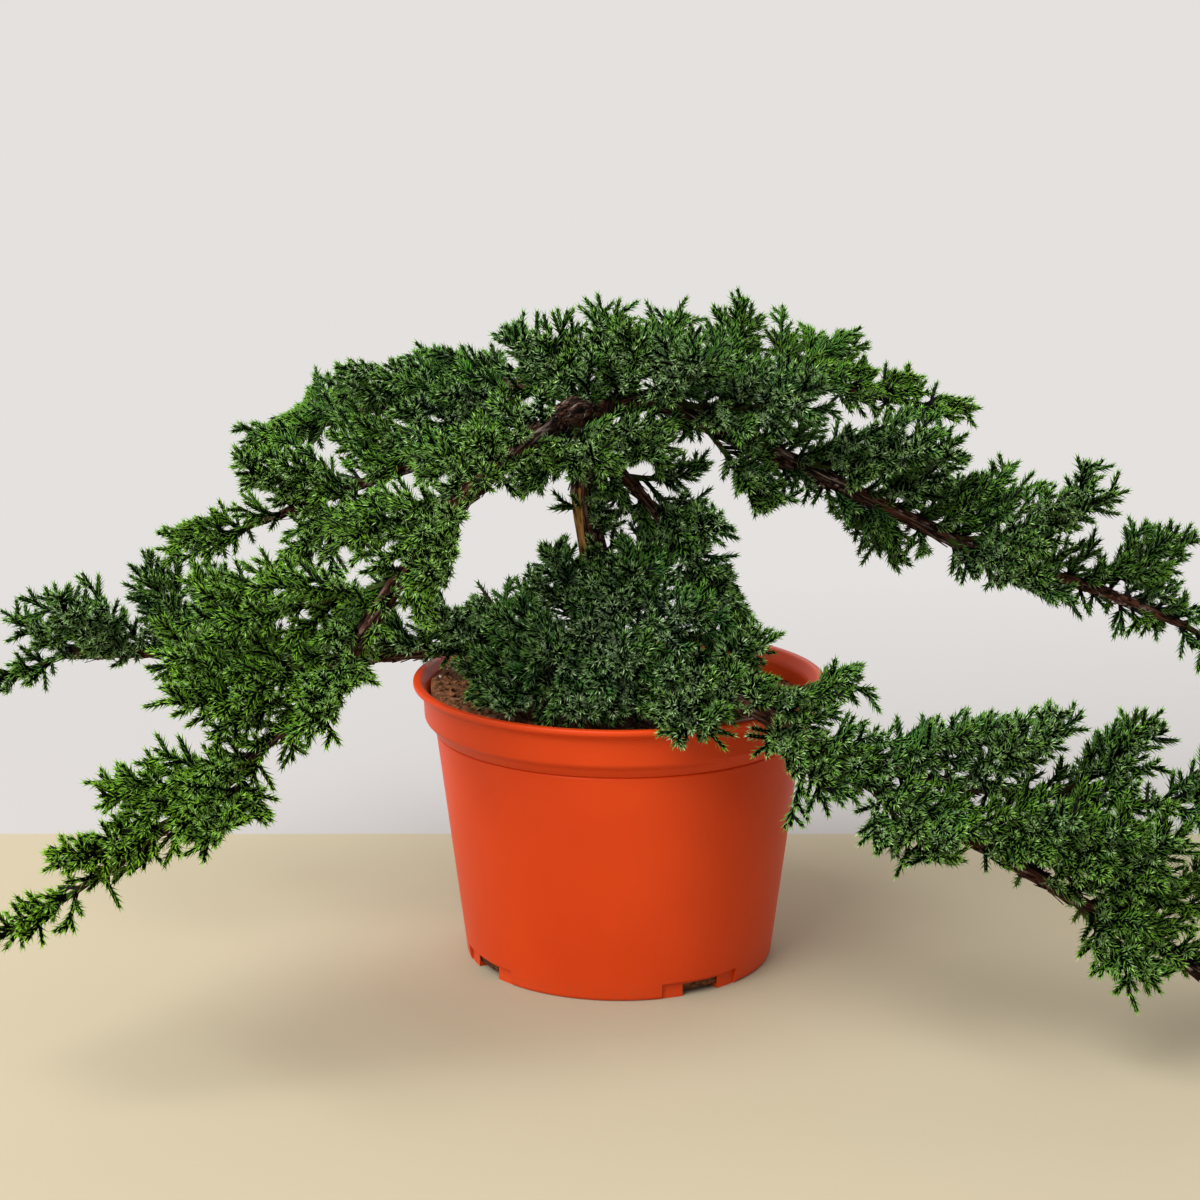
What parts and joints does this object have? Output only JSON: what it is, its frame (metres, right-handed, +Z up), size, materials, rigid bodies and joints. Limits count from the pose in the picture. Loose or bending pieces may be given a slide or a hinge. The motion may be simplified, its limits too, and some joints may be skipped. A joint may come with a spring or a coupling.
{
  "type": "juniper bonsai",
  "caption": "Creeping juniper trained as a cascading bonsai in a round tapered plastic nursery pot filled with soil.",
  "frame": {"origin": "on the pot's axis, on the flat underside that the pot stands on", "axes": "+Z up, +X to the right along the tree's spread, -Y towards the front of the tree"},
  "size_m": [0.5272, 0.2771, 0.2628],
  "materials": {
    "pot_plastic": "satin",
    "soil": "matte",
    "bark": "matte",
    "needles": "satin"
  },
  "bodies": {
    "root": {"pot": "pot_plastic", "soil": "soil", "trunk": "bark", "crown_spray_01": "needles", "front_left_spray_01": "needles", "front_left_spray_02": "needles", "front_left_spray_03": "needles", "front_left_spray_04": "needles", "front_left_spray_05": "needles", "front_left_spray_06": "needles", "front_left_spray_07": "needles", "front_left_spray_08": "needles", "front_left_spray_09": "needles", "front_left_spray_10": "needles", "mid_left_spray_01": "needles", "mid_left_spray_02": "needles", "mid_left_spray_03": "needles", "upper_left_spray_01": "needles", "upper_left_spray_02": "needles", "upper_left_spray_03": "needles", "upper_left_spray_04": "needles", "upper_left_spray_05": "needles", "upper_right_spray_01": "needles", "upper_right_spray_02": "needles", "upper_right_spray_03": "needles", "upper_right_spray_04": "needles", "upper_right_spray_05": "needles", "upper_right_spray_06": "needles", "upper_right_spray_07": "needles", "upper_right_spray_08": "needles", "upper_right_spray_09": "needles", "crest_right_spray_01": "needles", "crest_right_spray_02": "needles", "crest_right_spray_03": "needles", "crest_right_spray_04": "needles", "lower_right_spray_01": "needles", "lower_right_spray_02": "needles", "lower_right_spray_03": "needles", "lower_right_spray_04": "needles", "lower_right_spray_05": "needles", "lower_right_spray_06": "needles", "lower_right_spray_07": "needles", "lower_right_spray_08": "needles", "right_fork_spray_01": "needles", "right_fork_spray_02": "needles", "right_fork_spray_03": "needles", "right_fork_spray_04": "needles", "lower_left_spray_01": "needles", "lower_left_spray_02": "needles", "lower_left_spray_03": "needles", "lower_left_spray_04": "needles", "lower_left_spray_05": "needles", "lower_left_spray_06": "needles", "side_limb_spray_01": "needles", "side_limb_spray_02": "needles", "side_limb_spray_03": "needles", "apron_spray_01": "needles", "apron_spray_02": "needles", "apron_spray_03": "needles", "apron_spray_04": "needles"}
  },
  "joints": []
}
